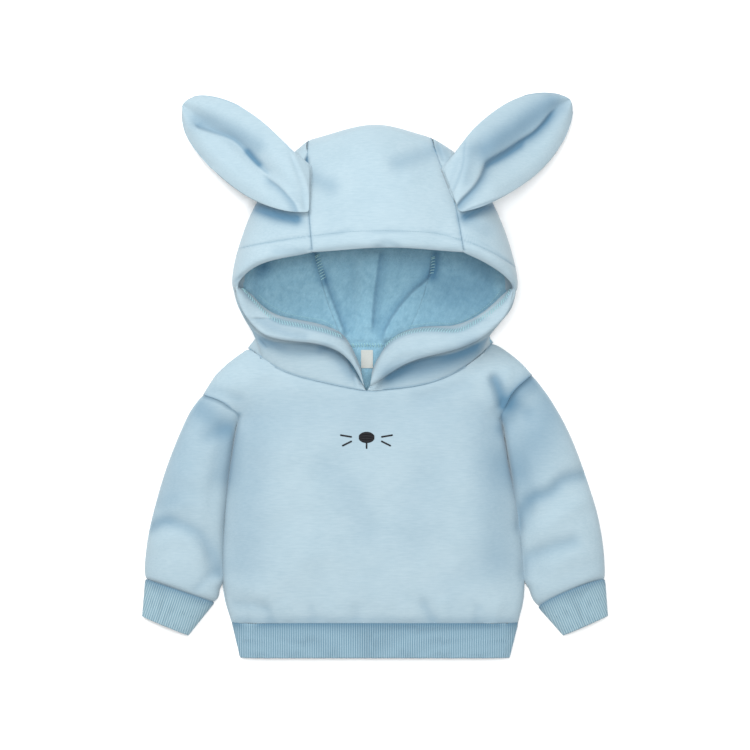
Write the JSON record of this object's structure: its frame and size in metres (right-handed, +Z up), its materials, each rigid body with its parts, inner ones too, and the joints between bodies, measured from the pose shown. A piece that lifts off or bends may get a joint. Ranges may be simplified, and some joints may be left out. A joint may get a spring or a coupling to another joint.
{
  "type": "toddler hoodie",
  "caption": "Light blue toddler hoodie with two long ears on the hood, ribbed cuffs and hem band, laid flat on its back.",
  "frame": {"origin": "centre of the footprint on the table, at the lowest point of the back", "axes": "+X across the chest to the wearer's left, +Y from the hem to the ears, +Z up from the table"},
  "size_m": [0.512, 0.6206, 0.104],
  "materials": {
    "jersey": "brushed-back sweatshirt jersey, matt",
    "ribbing": "rib knit, matt",
    "label": "woven tape, blank"
  },
  "bodies": {
    "root": {"front_panel": "jersey", "back_panel": "jersey", "sleeve_left": "jersey", "sleeve_right": "jersey", "hood_middle": "jersey", "hood_left": "jersey", "hood_right": "jersey", "ear_left_front": "jersey", "ear_left_back": "jersey", "ear_right_front": "jersey", "ear_right_back": "jersey", "hem_band": "ribbing", "cuff_left": "ribbing", "cuff_right": "ribbing", "neck_label": "label"}
  },
  "joints": []
}
